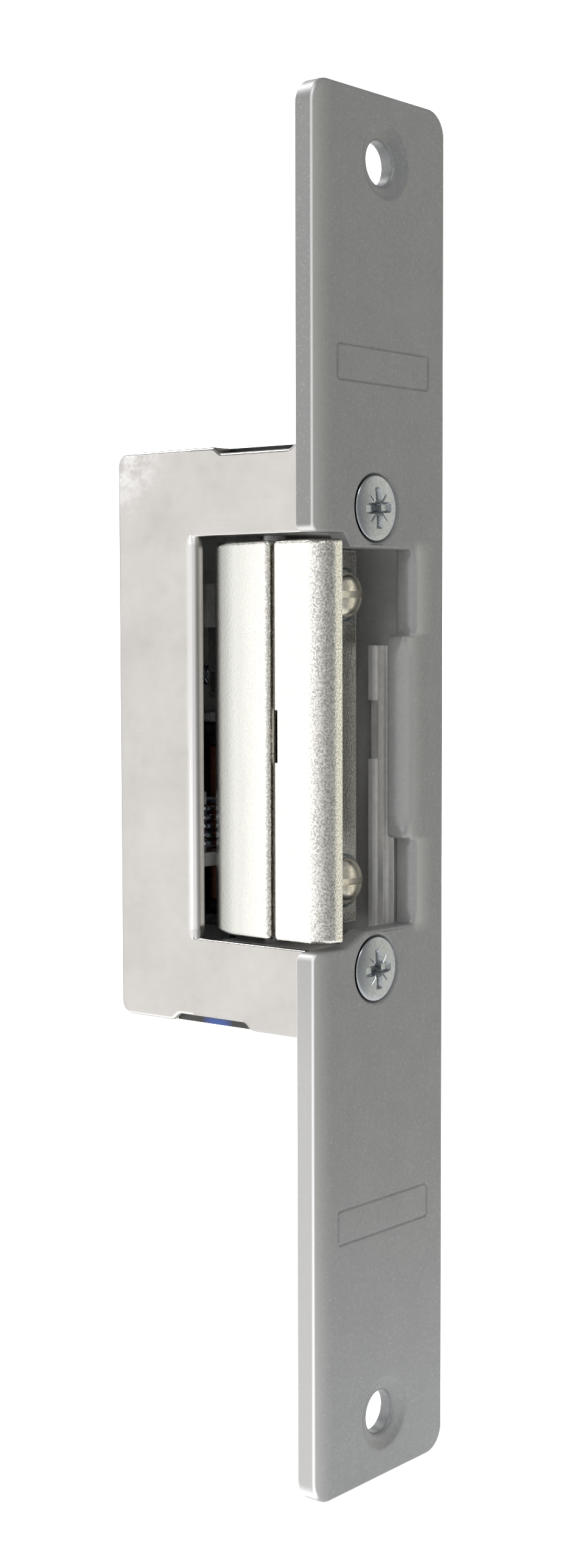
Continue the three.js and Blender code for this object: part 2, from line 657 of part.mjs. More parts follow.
const armatureSpring = wire(new CompressionSpring(7, 7.6, 0.9), 0.2, 60, 3);
armatureSpring.translate(-2.7, 27.2, 0.45);
piece("armature_spring", armatureSpring, SPRING_STEEL);

// ---------------------------------------------------------------- terminals

const BLOCK = { x: [-8.9, 2.2], y: [13.2, 20.8], z: [BOTTOM + 0.1, -19.4] };
const TERMINALS = [["left", -6.1], ["right", -0.9]];
let block = box(...BLOCK.x, ...BLOCK.y, ...BLOCK.z);
for (const [, x] of TERMINALS) {
  block = cut(block, bar("z", x, 17, 2.2, BLOCK.z[0] - 1, BLOCK.z[0] + 4.6, 32));
}
piece("terminal_block", block, BLUE_PLASTIC);

for (const [name, x] of TERMINALS) {
  const low = BLOCK.z[0] + 0.6;
  const profile = [[0, low], [1.5, low], [1.8, low + 0.3], [1.8, low + 1.3], [1.3, low + 1.3],
    [1.3, low + 3.7], [0, low + 3.7]];
  const slot = box(x - 2.5, x + 2.5, 16.7, 17.3, low - 1, low + 0.7);
  piece(`terminal_screw_${name}`, cut(turnedAboutZ(x, 17, profile, 28), slot), BRASS);
  const ring = cut(
    bar("z", x, 17, 1.95, low + 1.6, low + 2.4, 28),
    bar("z", x, 17, 1.55, low, low + 4, 28),
  );
  piece(`terminal_clamp_${name}`, ring, ZINC);
}

// Enamelled leads from the winding's lower end down to the terminals.
const LEADS = [
  ["outer", [[-1.55, 22.4, -12.4], [-2.2, 21.6, -14.2], [-3.6, 19.6, -16.8], [-4.2, 18.6, -18.9]]],
  ["inner", [[-1.1, 20.5, -12.4], [-1.3, 20.4, -14.4], [-1.4, 20.2, -16.2], [-1.6, 19, -17.8],
    [-1.7, 18.4, -18.9]]],
];
for (const [name, points] of LEADS) {
  const curve = new THREE.CatmullRomCurve3(points.map((p) => new THREE.Vector3(...p)));
  piece(`coil_lead_${name}`, wire(curve, 0.35, 12, 4), LEAD_PLASTIC);
}

export default group;
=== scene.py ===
"""Electric door strike: looks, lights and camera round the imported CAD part.

Lengths in the shape tables are millimetres in the part's own frame: X across the faceplate,
Y back into the door frame, Z up. Meshes are scaled to metres when they are made.
"""

import math

import bmesh
import bpy
from mathutils import Matrix, Vector


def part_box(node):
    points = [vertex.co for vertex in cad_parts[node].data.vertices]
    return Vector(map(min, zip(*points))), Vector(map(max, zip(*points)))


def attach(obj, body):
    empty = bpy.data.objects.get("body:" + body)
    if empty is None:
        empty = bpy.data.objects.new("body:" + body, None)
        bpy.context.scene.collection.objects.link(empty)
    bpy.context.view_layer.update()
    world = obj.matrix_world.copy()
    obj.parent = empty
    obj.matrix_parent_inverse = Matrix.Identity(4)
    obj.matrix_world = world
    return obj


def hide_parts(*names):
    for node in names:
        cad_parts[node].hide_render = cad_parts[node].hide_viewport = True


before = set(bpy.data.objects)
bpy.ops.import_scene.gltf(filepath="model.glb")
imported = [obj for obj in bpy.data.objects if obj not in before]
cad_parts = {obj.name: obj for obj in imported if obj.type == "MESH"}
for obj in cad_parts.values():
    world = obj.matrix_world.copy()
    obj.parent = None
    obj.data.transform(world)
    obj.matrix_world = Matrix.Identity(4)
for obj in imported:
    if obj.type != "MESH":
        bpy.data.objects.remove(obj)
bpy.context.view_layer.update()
MM = 0.001


def box_mm(node):
    """The low and high corners of a CAD node in millimetres."""
    low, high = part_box(node)
    return low / MM, high / MM


# ------------------------------------------------------------------ shared dimensions

plate_low, plate_high = box_mm("faceplate")
cover_low, cover_high = box_mm("cover")
keeper_low, keeper_high = box_mm("keeper")

MIDDLE = (cover_low.z + cover_high.z) / 2  # height of the box's middle
THICK = plate_high.y  # thickness of the faceplate
NOTCH = 23.5  # half height of the notch for the keeper, in plate and cover
OPENING = 21.9  # half height of the latch opening
WALL_X = 6.3  # the far side of the latch opening
TONGUE_X = 4.5  # the edge of the tongue that stands out from that side
TONGUE_FOOT, TONGUE_TOP = -4.8, 19.0
KEEPER_PIVOT = (-3.5, 13.0)  # x and y of its axis
KEEPER_RADIUS = 6.9
# screw places: x, and height above or below MIDDLE
BODY_SCREW_X, BODY_SCREW_RISE = -0.7, 26.5
LIP_SCREW_X, LIP_SCREW_RISE = 0.7, 16.75
COVER_SCREW_X, COVER_SCREW_RISE = 0, 27


# ------------------------------------------------------------------ camera


def make_camera(place, azimuth, elevation, roll, lens):
    a, e, r = (math.radians(v) for v in (azimuth, elevation, roll))
    back = Vector((math.sin(a) * math.cos(e), -math.cos(a) * math.cos(e), math.sin(e)))
    right = Vector((0, 0, 1)).cross(back).normalized()
    up = back.cross(right)
    turned_right = right * math.cos(r) + up * math.sin(r)
    turned_up = up * math.cos(r) - right * math.sin(r)
    data = bpy.data.cameras.new("camera")
    data.sensor_width = 36
    data.lens = lens
    data.clip_start = 0.01
    data.clip_end = 50
    camera = bpy.data.objects.new("camera", data)
    camera.matrix_world = Matrix(
        (
            (turned_right.x, turned_up.x, back.x, place[0]),
            (turned_right.y, turned_up.y, back.y, place[1]),
            (turned_right.z, turned_up.z, back.z, place[2]),
            (0, 0, 0, 1),
        )
    )
    bpy.context.scene.collection.objects.link(camera)
    bpy.context.scene.camera = camera


make_camera((-0.202086, -0.151963, 0.019689), -50.680, 4.018, -0.144, 50.437)


# ------------------------------------------------------------------ materials


class Look:
    """A node material, with short calls for the nodes it uses."""

    def __init__(self, name, **sockets):
        self.material = bpy.data.materials.new(name)
        self.material.use_nodes = True
        self.tree = self.material.node_tree
        self.shader = self.tree.nodes["Principled BSDF"]
        for socket, value in sockets.items():
            self.shader.inputs[socket.replace("_", " ")].default_value = value
        self.coords = self.tree.nodes.new("ShaderNodeTexCoord")

    def new(self, kind, inputs=None, **settings):
        """A node with its inputs linked or set."""
        made = self.tree.nodes.new("ShaderNode" + kind)
        for key, value in settings.items():
            setattr(made, key, value)
        for key, value in (inputs or {}).items():
            if isinstance(value, bpy.types.NodeSocket):
                self.tree.links.new(value, made.inputs[key])
            else:
                made.inputs[key].default_value = value
        return made

    def drive(self, socket, source):
        """Links a source to one of the shader's inputs."""
        self.tree.links.new(source, self.shader.inputs[socket])

    def stretched(self, scale):
        """Object coordinates in millimetres, scaled along each axis."""
        size = [s / MM for s in scale]
        mapping = self.new("Mapping", {"Vector": self.coords.outputs["Object"], "Scale": size})
        return mapping.outputs["Vector"]

    def noise(self, vector, scale=1.0, detail=3.0, roughness=0.55):
        inputs = {"Vector": vector, "Scale": scale, "Detail": detail, "Roughness": roughness}
        return self.new("TexNoise", inputs).outputs["Fac"]

    def cells(self, vector, scale=1.0):
        return self.new("TexVoronoi", {"Vector": vector, "Scale": scale})

    def between(self, value, low, high, to_low=0.0, to_high=1.0):
        """The value's place between low and high, clamped, and given the range of the result."""
        inputs = {
            "Value": value,
            "From Min": low,
            "From Max": high,
            "To Min": to_low,
            "To Max": to_high,
        }
        return self.new("MapRange", inputs).outputs["Result"]

    def math(self, operation, a, b):
        return self.new("Math", {0: a, 1: b}, operation=operation).outputs[0]

    def times(self, a, b):
        return self.math("MULTIPLY", a, b)

    def unsigned(self, value):
        return self.math("ABSOLUTE", value, 0.0)

    def axes(self, kind):
        """The X, Y and Z of the point ("Object", in metres) or of the surface ("Normal")."""
        return self.new("SeparateXYZ", {"Vector": self.coords.outputs[kind]}).outputs

    def blend(self, factor, a, b):
        # a colour mix keeps its colours in inputs 6 and 7 and its result in output 2
        mix = self.new("Mix", {0: factor}, data_type="RGBA")
        for socket, value in ((mix.inputs[6], a), (mix.inputs[7], b)):
            if isinstance(value, bpy.types.NodeSocket):
                self.tree.links.new(value, socket)
            else:
                socket.default_value = value
        return mix.outputs[2]

    def edges(self, flat, bent):
        """1 on rounded edges and 0 on faces that lie square to an axis."""
        normal = self.axes("Normal")
        sides = [self.unsigned(normal[axis]) for axis in "XYZ"]
        most = self.math("MAXIMUM", self.math("MAXIMUM", sides[0], sides[1]), sides[2])
        return self.between(most, flat, bent)

    def bump(self, height, distance, strength=1.0, after=None):
        """A normal from a height, with the distance in millimetres, on top of another bump."""
        inputs = {"Height": height, "Distance": distance * MM, "Strength": strength}
        if after is not None:
            inputs["Normal"] = after
        return self.new("Bump", inputs).outputs["Normal"]


def grey(value, warm=0.0):
    """A grey, tinted towards yellow by warm."""
    return (value * (1 + warm), value, value * (1 - warm), 1)


def paint_look():
    """Silver-grey stoved paint with metal flake and a fine orange peel, with painted highlights by
    its leading edge and round the latch opening.
    """
    look = Look("plate_paint", Metallic=0.25, IOR=1.5, Coat_Weight=0.12, Coat_Roughness=0.35)
    even = look.stretched((1, 1, 1))
    flakes = look.cells(even, 6.5)
    flake = look.new("SeparateColor", {"Color": flakes.outputs["Color"]}).outputs[0]
    sparkle = look.between(flake, 0.90, 0.99)
    cloud = look.noise(even, 0.22, 4)
    mottle = look.noise(even, 1.7, 3)
    shade = look.between(
        look.math("ADD", look.times(cloud, 0.4), look.times(mottle, 0.6)),
        0.3,
        0.7,
    )
    base = look.blend(shade, (0.210, 0.215, 0.219, 1), (0.250, 0.254, 0.257, 1))

    # painted highlights: the paint is paler beside the leading edge and on a soft crest round the
    # latch opening
    pale = (0.46, 0.455, 0.45, 1)
    point = look.axes("Object")
    near = look.math("POWER", look.between(point["X"], -8.5 * MM, -12.5 * MM), 1.8)
    base = look.blend(look.times(near, 0.80), base, pale)
    tongue_middle = (TONGUE_FOOT + TONGUE_TOP) / 2 * MM
    from_tongue = look.unsigned(look.math("SUBTRACT", point["Z"], tongue_middle))
    half, set_back = (TONGUE_TOP - TONGUE_FOOT) / 2, 0.9
    rim = look.between(from_tongue, (half - 0.2) * MM, (half + 0.3) * MM,
                       (TONGUE_X + set_back) * MM, (WALL_X + set_back) * MM)
    beyond = look.math("SUBTRACT", point["X"], rim)
    # painted highlight: a soft bright band along the opening's rounded edge, fading away from it
    opening_highlight = look.math("POWER", look.between(beyond, 3.2 * MM, 0.2 * MM), 1.5)
    opening_highlight = look.times(opening_highlight, look.between(beyond, -1.2 * MM, 0.1 * MM))
    from_middle = look.unsigned(look.math("SUBTRACT", point["Z"], MIDDLE * MM))
    opening_highlight = look.times(opening_highlight, look.between(from_middle, 23.2 * MM, 21.7 * MM))
    base = look.blend(look.times(opening_highlight, 0.65), base, pale)

    # painted light: the leading side is lighter towards its foot, and its rounded edges get a
    # painted highlight that is strongest near the foot
    leading = look.between(point["X"], -11.5 * MM, -12.0 * MM)
    lower = look.between(point["Z"], 20 * MM, -30 * MM)
    side = look.times(look.between(look.axes("Normal")["X"], -0.75, -0.95), leading)
    base = look.blend(side, base, look.blend(lower, grey(0.21, 0.01), grey(0.38, 0.01)))
    bright = look.blend(look.times(sparkle, 0.22), base, (0.50, 0.49, 0.48, 1))
    highlight_by_height = look.between(lower, 0, 1, 0.6, 1)
    edge_highlight = look.times(look.times(look.edges(0.985, 0.80), leading), highlight_by_height)
    look.drive("Base Color", look.blend(edge_highlight, bright, grey(0.88)))
    look.drive("Roughness", look.between(flake, 0.0, 1.0, 0.50, 0.36))
    peel = look.bump(look.noise(even, 1.3, 2), 0.05, 0.6)
    grain = look.bump(look.noise(even, 5.5, 2), 0.018, 0.8, peel)
    look.drive("Normal", grain)
    return look.material


def brushed_look():
    """Stainless sheet brushed along its length, with faint stains and scuffs, painted highlights on
    its bends and painted shade along its outer bend and inside.
    """
    look = Look("brushed_sheet", Metallic=1.0, Anisotropic=0.5)
    normal = look.axes("Normal")
    point = look.axes("Object")
    on_back = look.between(look.unsigned(normal["Y"]), 0.6, 0.8)
    along_y = look.stretched((14, 0.10, 14))
    along_x = look.stretched((0.10, 14, 14))
    lines = look.blend(
        on_back,
        look.noise(along_y, 1.0, 4, 0.7),
        look.noise(along_x, 1.0, 4, 0.7),
    )
    stain = look.noise(look.stretched((0.12, 0.12, 0.12)), 1.0, 5, 0.6)
    scuff = look.noise(look.stretched((0.5, 0.35, 0.5)), 1.0, 6, 0.75)
    tone = look.blend(look.between(lines, 0.3, 0.7), grey(0.465, 0.040), grey(0.520, 0.036))
    tone = look.blend(look.between(stain, 0.35, 0.65, 0, 0.5), tone, grey(0.40, 0.05))

    # painted highlight on the bends, and on the window's roll only where it turns well away
    rolled = look.between(point["Y"], 19.9 * MM, 19.7 * MM)
    bend = look.between(rolled, 0, 1, look.edges(0.99, 0.85), look.edges(0.86, 0.70))
    tone = look.blend(bend, tone, grey(0.97, 0.01))

    # painted shade: a dark line round the outer bend at the top, foot and back
    across = look.unsigned(normal["X"])
    turn = look.times(look.between(across, 0.88, 0.6), look.between(across, 0.1, 0.3))
    from_middle = look.unsigned(look.math("SUBTRACT", point["Z"], MIDDLE * MM))
    far_z = look.between(from_middle, 31.5 * MM, 32.2 * MM)
    far_y = look.between(point["Y"], 29.0 * MM, 29.7 * MM)
    rim = look.times(turn, look.math("MAXIMUM", far_z, far_y))
    tone = look.blend(look.times(rim, 0.85), tone, (0.10, 0.095, 0.075, 1))

    # a paler patch near the upper back corner, and painted shade on the sheet's shorn edges inside
    corner = (cover_low.x * MM, cover_high.y * MM, cover_high.z * MM)
    place_m = look.coords.outputs["Object"]
    from_corner = look.new("VectorMath", {0: place_m, 1: corner}, operation="DISTANCE")
    corner_patch = look.times(
        look.between(from_corner.outputs["Value"], 9 * MM, 1 * MM),
        look.between(scuff, 0.42, 0.6),
    )
    tone = look.blend(look.times(corner_patch, 0.9), tone, grey(0.80, 0.01))
    inner = look.between(point["X"], (cover_low.x + 1.6) * MM, (cover_low.x + 1.8) * MM)
    tone = look.blend(look.times(inner, look.between(across, 0.4, 0.7)), tone, grey(0.03))
    look.drive("Base Color", tone)

    rough = look.between(lines, 0.25, 0.75, 0.26, 0.40)
    rough = look.math("ADD", rough, look.between(scuff, 0.5, 0.8, 0, 0.14))
    bare = look.edges(0.995, 0.93)
    fold = look.times(look.math("SUBTRACT", 0.10, rough), bare)
    look.drive("Roughness", look.math("ADD", rough, fold))
    look.drive("Normal", look.bump(lines, 0.005, 0.5))
    return look.material


def nickel_look():
    """Bright nickel over a shot-blasted surface, with painted glints on forward faces and painted
    shade on the keeper's barrel.
    """
    look = Look("nickel", Metallic=1.0)
    even = look.stretched((1, 1, 1))
    sand = look.noise(even, 4.6, 3, 0.6)
    pits = look.cells(even, 4.2).outputs["Distance"]
    broad = look.noise(even, 0.35, 3)
    # painted glints: faces that look forward get bright and dark specks in their colour
    glint_facing = look.between(look.axes("Normal")["Y"], 0.02, -0.22)
    tone = look.blend(look.between(sand, 0.35, 0.7), (0.70, 0.68, 0.62, 1), (0.95, 0.93, 0.88, 1))
    fine = look.noise(even, 4.6, 3, 0.7)
    glint = look.blend(look.between(fine, 0.38, 0.60), (0.34, 0.33, 0.31, 1), (1.0, 0.98, 0.93, 1))
    tone = look.blend(look.times(glint_facing, 0.8), tone, glint)
    tone = look.blend(look.between(broad, 0.4, 0.7, 0, 0.3), tone, (0.78, 0.755, 0.69, 1))
    # painted shade: darker towards the back of the keeper's barrel, where it turns from the light,
    # with a streaked boundary
    depth = look.axes("Object")["Y"]
    streak = look.noise(look.stretched((0.6, 0.6, 0.12)), 1.0, 4, 0.6)
    reach = look.math("ADD", look.times(streak, 2.4 * MM), depth)
    barrel_shade = look.between(reach, 9.0 * MM, 13.6 * MM)
    tone = look.blend(barrel_shade, tone, (0.585, 0.585, 0.55, 1))
    look.drive("Base Color", tone)
    look.drive("Roughness", look.between(sand, 0.3, 0.7, 0.21, 0.11))
    first = look.bump(sand, 0.040, 1.0)
    look.drive("Normal", look.bump(pits, 0.025, 0.7, first))
    return look.material


def diecast_look():
    """Zinc die casting, matt and slightly mottled."""
    look = Look("diecast", Metallic=0.7)
    even = look.stretched((1, 1, 1))
    mottle = look.noise(even, 1.1, 5, 0.6)
    look.drive("Base Color", look.blend(mottle, (0.68, 0.68, 0.68, 1), (0.86, 0.86, 0.85, 1)))
    look.drive("Roughness", look.between(mottle, 0.3, 0.7, 0.58, 0.40))
    look.drive("Normal", look.bump(look.noise(even, 4.0, 3), 0.03, 0.7))
    return look.material


def plated_look(name, dark, light, rough, scale=2.0, fine=0.02):
    """A plated or plain metal surface with slight mottling."""
    look = Look(name, Metallic=1.0)
    even = look.stretched((1, 1, 1))
    mottle = look.noise(even, scale, 4, 0.6)
    look.drive("Base Color", look.blend(look.between(mottle, 0.3, 0.7), dark, light))
    look.drive("Roughness", look.between(mottle, 0.3, 0.7, rough + 0.08, rough - 0.05))
    look.drive("Normal", look.bump(look.noise(even, scale * 3, 2), fine, 0.6))
    return look.material


def winding_look():
    """Enamelled copper wire, slightly patchy."""
    look = Look("copper", Metallic=0.9, Coat_Weight=0.6, Coat_Roughness=0.15)
    even = look.stretched((1, 1, 1))
    patch = look.noise(even, 0.9, 3)
    look.drive("Base Color", look.blend(patch, (0.30, 0.09, 0.035, 1), (0.62, 0.24, 0.10, 1)))
    look.drive("Roughness", look.between(patch, 0.3, 0.7, 0.42, 0.28))
    look.drive("Normal", look.bump(look.noise(even, 6, 2), 0.01, 0.5))
    return look.material


def plastic_look(name, dark, light, rough):
    """Moulded plastic with a faint spark-eroded grain."""
    look = Look(name, Metallic=0.0, IOR=1.5)
    even = look.stretched((1, 1, 1))
    cloud = look.noise(even, 0.8, 3)
    look.drive("Base Color", look.blend(cloud, dark, light))
    look.drive("Roughness", look.between(cloud, 0.3, 0.7, rough + 0.06, rough - 0.06))
    look.drive("Normal", look.bump(look.noise(even, 5, 2), 0.02, 0.5))
    return look.material


def terminal_look():
    """Blue moulded plastic, with a near-black sheet of painted shade that leaves a blue patch in
    the cover's slot.
    """
    look = Look("blue_plastic", Metallic=0.0, IOR=1.5, Coat_Weight=0.2)
    even = look.stretched((1, 1, 1))
    cloud = look.noise(even, 0.8, 3)
    point = look.axes("Object")
    blue = look.blend(cloud, (0.012, 0.060, 0.32, 1), (0.022, 0.100, 0.45, 1))
    # painted shade: the sheet in the slot is near black round a wavy blue patch
    shade_sheet = look.between(point["X"], -8.86 * MM, -8.9 * MM)
    from_patch = look.unsigned(look.math("SUBTRACT", point["Y"], 16.8 * MM))
    wavy = look.math("ADD", from_patch, look.times(look.noise(even, 1.6, 3), 2.0 * MM))
    dark = look.times(shade_sheet, look.between(wavy, 2.0 * MM, 3.4 * MM, 0.35, 1))
    look.drive("Base Color", look.blend(dark, blue, (0.014, 0.013, 0.011, 1)))
    look.drive("Roughness", look.between(cloud, 0.3, 0.7, 0.44, 0.32))
    look.drive("Normal", look.bump(look.noise(even, 5, 2), 0.02, 0.5))
    return look.material


LOOKS = {
    "plate_paint": paint_look(),
    "brushed_sheet": brushed_look(),
    "nickel": nickel_look(),
    "smooth_nickel": plated_look(
        "smooth_nickel", (0.60, 0.56, 0.47, 1), (0.80, 0.77, 0.68, 1), 0.20, 2.0, 0.008
    ),
    "diecast": diecast_look(),
    "zinc": plated_look("zinc", (0.34, 0.36, 0.38, 1), (0.43, 0.455, 0.475, 1), 0.24, 3.0, 0.010),
    "steel": plated_look("steel", (0.30, 0.30, 0.31, 1), (0.52, 0.52, 0.53, 1), 0.36, 1.4),
    "spring_steel": plated_look(
        "spring_steel", (0.42, 0.47, 0.56, 1), (0.70, 0.74, 0.82, 1), 0.16, 3.0, 0.01
    ),
    "brass": plated_look("brass", (0.52, 0.38, 0.15, 1), (0.74, 0.58, 0.28, 1), 0.30),
    "copper": winding_look(),
    "blue_plastic": terminal_look(),
    "black_plastic": plastic_look(
        "black_plastic", (0.010, 0.010, 0.011, 1), (0.022, 0.022, 0.024, 1), 0.45
    ),
    "lead_sleeve": plastic_look(
        "lead_sleeve", (0.018, 0.018, 0.020, 1), (0.035, 0.035, 0.038, 1), 0.42
    ),
}


# ------------------------------------------------------------------ mesh building


class Mesh:
    """Closed rings of points joined into walls, in millimetres."""

    def __init__(self):
        self.bm = bmesh.new()

    def ring(self, points):
        """A row of vertices."""
        return [self.bm.verts.new(p) for p in points]

    def wall(self, a, b, closed=True):
        """Faces between two rows of equal length."""
        count = len(a)
        for i in range(count if closed else count - 1):
            j = (i + 1) % count
            self.bm.faces.new((a[i], a[j], b[j], b[i]))

    def walls(self, rings, closed=True):
        """Faces between each row and the next."""
        for a, b in zip(rings, rings[1:]):
            self.wall(a, b, closed)

    def cap(self, *rings):
        """A flat face whose first ring is its outline and whose other rings are holes."""
        edges = []
        for ring in rings:
            for i, vert in enumerate(ring):
                pair = (vert, ring[(i + 1) % len(ring)])
                edges.append(self.bm.edges.get(pair) or self.bm.edges.new(pair))
        bmesh.ops.triangle_fill(self.bm, edges=edges, use_beauty=True)

    def data(self, name):
        """The finished mesh in metres, with its faces turned outwards."""
        bmesh.ops.scale(self.bm, vec=(MM, MM, MM), verts=self.bm.verts)
        bmesh.ops.recalc_face_normals(self.bm, faces=self.bm.faces)
        mesh = bpy.data.meshes.new(name)
        self.bm.to_mesh(mesh)
        self.bm.free()
        return mesh


def place(name, mesh, look, body, nodes, sharp=32, slot=None):
    """Makes a piece from a mesh: smooth shading, its material, its body and its CAD nodes."""
    piece = bpy.data.objects.new(name, mesh)
    bpy.context.scene.collection.objects.link(piece)
    for polygon in mesh.polygons:
        polygon.use_smooth = True
    mesh.set_sharp_from_angle(angle=math.radians(sharp))
    mesh.materials.clear()
    mesh.materials.append(LOOKS[look])
    normals = piece.modifiers.new("normals", "WEIGHTED_NORMAL")
    normals.keep_sharp = True
    normals.weight = 80
    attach(piece, body)
    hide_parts(*nodes)
    return piece


def settled(name, mesh, kind, settings):
    """A mesh with one modifier applied."""
    holder = bpy.data.objects.new(name, mesh)
    bpy.context.scene.collection.objects.link(holder)
    modifier = holder.modifiers.new(kind, kind)
    for key, value in settings.items():
        setattr(modifier, key, value)
    graph = bpy.context.evaluated_depsgraph_get()
    result = bpy.data.meshes.new_from_object(holder.evaluated_get(graph))
    result.name = name
    bpy.data.objects.remove(holder)
    return result


def carved(name, mesh, cutters):
    """A mesh with cutter meshes taken away from it."""
    for cutter in cutters:
        tool = bpy.data.objects.new("cutter", cutter)
        bpy.context.scene.collection.objects.link(tool)
        settings = {"operation": "DIFFERENCE", "solver": "EXACT", "object": tool}
        mesh = settled(name, mesh, "BOOLEAN", settings)
        bpy.data.objects.remove(tool)
    return mesh


def eased(name, mesh, radius, segments=2, angle=30):
    """A mesh with its sharp edges rounded."""
    bevel = {
        "width": radius * MM,
        "segments": segments,
        "limit_method": "ANGLE",
        "angle_limit": math.radians(angle),
        "use_clamp_overlap": True,
        "miter_outer": "MITER_ARC",
        "harden_normals": False,
    }
    return settled(name, mesh, "BEVEL", bevel)


def joined(meshes):
    """The first mesh with all the others added to it."""
    bm = bmesh.new()
    for mesh in meshes:
        bm.from_mesh(mesh)
    bm.to_mesh(meshes[0])
    bm.free()
    return meshes[0]


def refined(node, look, body, radius, segments=2, sharp=35, extra=()):
    """The CAD node's own shape with flat faces merged and its edges rounded, plus extra meshes."""
    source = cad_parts[node].data
    bm = bmesh.new()
    bm.from_mesh(source)
    bmesh.ops.remove_doubles(bm, verts=bm.verts, dist=0.004 * MM)
    bmesh.ops.dissolve_limit(
        bm, angle_limit=math.radians(1.0), verts=bm.verts, edges=bm.edges, delimit=set()
    )
    mesh = bpy.data.meshes.new(node + "_fine")
    bm.to_mesh(mesh)
    bm.free()
    mesh = joined([eased(node + "_fine", mesh, radius, segments), *extra])
    return place(node + "_fine", mesh, look, body, [node], sharp)


def arc(centre, radius, start, end, steps):
    """Points along an arc, with angles in degrees, both ends included."""
    points = []
    for i in range(steps + 1):
        t = math.radians(start + (end - start) * i / steps)
        points.append((centre[0] + radius * math.cos(t), centre[1] + radius * math.sin(t)))
    return points


def rounded(corners, turn=10):
    """A closed outline from (a, b, fillet, extra...) corners, each fillet as a fine arc."""
    outline = []
    count = len(corners)
    for i, (a, b, fillet, *extra) in enumerate(corners):
        here = Vector((a, b))
        before = Vector(corners[i - 1][:2]) - here
        after = Vector(corners[(i + 1) % count][:2]) - here
        if fillet <= 0 or before.length < 1e-6 or after.length < 1e-6:
            outline.append((a, b, *extra))
            continue
        u, v = before.normalized(), after.normalized()
        opening = u.angle(v)
        if opening > math.pi - 0.02:
            outline.append((a, b, *extra))
            continue
        reach = fillet / math.tan(opening / 2)
        centre = here + (u + v).normalized() * (fillet / math.sin(opening / 2))
        start, end = here + u * reach - centre, here + v * reach - centre
        swing = math.atan2(start.x * end.y - start.y * end.x, start.dot(end))
        steps = max(2, round(abs(math.degrees(swing)) / turn))
        for k in range(steps + 1):
            t = swing * k / steps
            c, s = math.cos(t), math.sin(t)
            x = centre.x + start.x * c - start.y * s
            y = centre.y + start.x * s + start.y * c
            outline.append((x, y, *extra))
    return outline


def inset(outline, amounts):
    """The outline moved towards its own inside by an amount at each point."""
    count = len(outline)
    area = sum(
        outline[i][0] * outline[(i + 1) % count][1] - outline[(i + 1) % count][0] * outline[i][1]
        for i in range(count)
    )
    side = 1 if area > 0 else -1
    moved = []
    for i in range(count):
        here = Vector(outline[i][:2])
        before = here - Vector(outline[i - 1][:2])
        after = Vector(outline[(i + 1) % count][:2]) - here
        n1 = Vector((-before.y, before.x)).normalized() * side
        n2 = Vector((-after.y, after.x)).normalized() * side
        middle = (n1 + n2).normalized()
        stretch = 1 / max(0.45, middle.dot(n1))
        moved.append(tuple(here + middle * (amounts[i] * stretch)))
    return moved


def circle(centre, radius, count):
    """Points round a circle."""
    step = 2 * math.pi / count
    return [
        (centre[0] + radius * math.cos(i * step), centre[1] + radius * math.sin(i * step))
        for i in range(count)
    ]


def prism(outline, low, high, edge, lift, steps=4):
    """An outline raised from low to high, with both end edges rounded by up to edge.

    lift(a, b, c) turns outline coordinates and height into a point."""
    mesh = Mesh()
    rings = []
    edges = [min(edge, p[2]) if len(p) > 2 else edge for p in outline]
    for end, sign in ((low, 1), (high, -1)):
        part = []
        for k in range(steps + 1):
            t = math.pi / 2 * k / steps
            plan = inset(outline, [e * (1 - math.sin(t)) for e in edges])
            part.append(
                mesh.ring(
                    [
                        lift(p[0], p[1], end + sign * e * (1 - math.cos(t)))
                        for p, e in zip(plan, edges)
                    ]
                )
            )
        rings.append(part)
    stack = rings[0] + list(reversed(rings[1]))
    mesh.walls(stack)
    mesh.cap(stack[0])
    mesh.cap(stack[-1])
    return mesh


def upright(a, b, c):
    """A lift for shapes that stand along Z."""
    return (a, b, c)


def facing(a, b, c):
    """A lift for shapes that lie along Y."""
    return (a, c, b)


def turned(profile, centre, lift, count=64):
    """A turned shape from (radius, height) points that start and end on the axis."""
    mesh = Mesh()
    rings = []
    for radius, height in profile:
        if radius < 1e-6:
            rings.append([mesh.bm.verts.new(lift(centre[0], centre[1], height))])
        else:
            plan = circle(centre, radius, count)
            rings.append(mesh.ring([lift(a, b, height) for a, b in plan]))
    for a, b in zip(rings, rings[1:]):
        if len(a) == 1 and len(b) == 1:
            continue
        if len(a) == 1 or len(b) == 1:
            tip, ring = (a[0], b) if len(a) == 1 else (b[0], a)
            for i, vert in enumerate(ring):
                mesh.bm.faces.new((tip, vert, ring[(i + 1) % len(ring)]))
        else:
            mesh.wall(a, b)
    return mesh


def washer(centre, bore, rim, low, high, lift):
    """A flat ring with its corners eased."""
    e = 0.1
    section = [
        (bore, low + e),
        (bore + e, low),
        (rim - e, low),
        (rim, low + e),
        (rim, high - e),
        (rim - e, high),
        (bore + e, high),
        (bore, high - e),
    ]
    mesh = Mesh()
    rings = [mesh.ring([lift(a, b, h) for a, b in circle(centre, r, 64)]) for r, h in section]
    mesh.walls(rings + rings[:1])
    return mesh


def block(x0, x1, y0, y1, z0, z1):
    """A plain box mesh in metres, used as a cutter."""
    mesh = Mesh()
    low = mesh.ring([(x0, y0, z0), (x1, y0, z0), (x1, y1, z0), (x0, y1, z0)])
    high = mesh.ring([(x0, y0, z1), (x1, y0, z1), (x1, y1, z1), (x0, y1, z1)])
    mesh.wall(low, high)
    mesh.bm.faces.new(low)
    mesh.bm.faces.new(high)
    return mesh.data("cutter")


# ------------------------------------------------------------------ faceplate


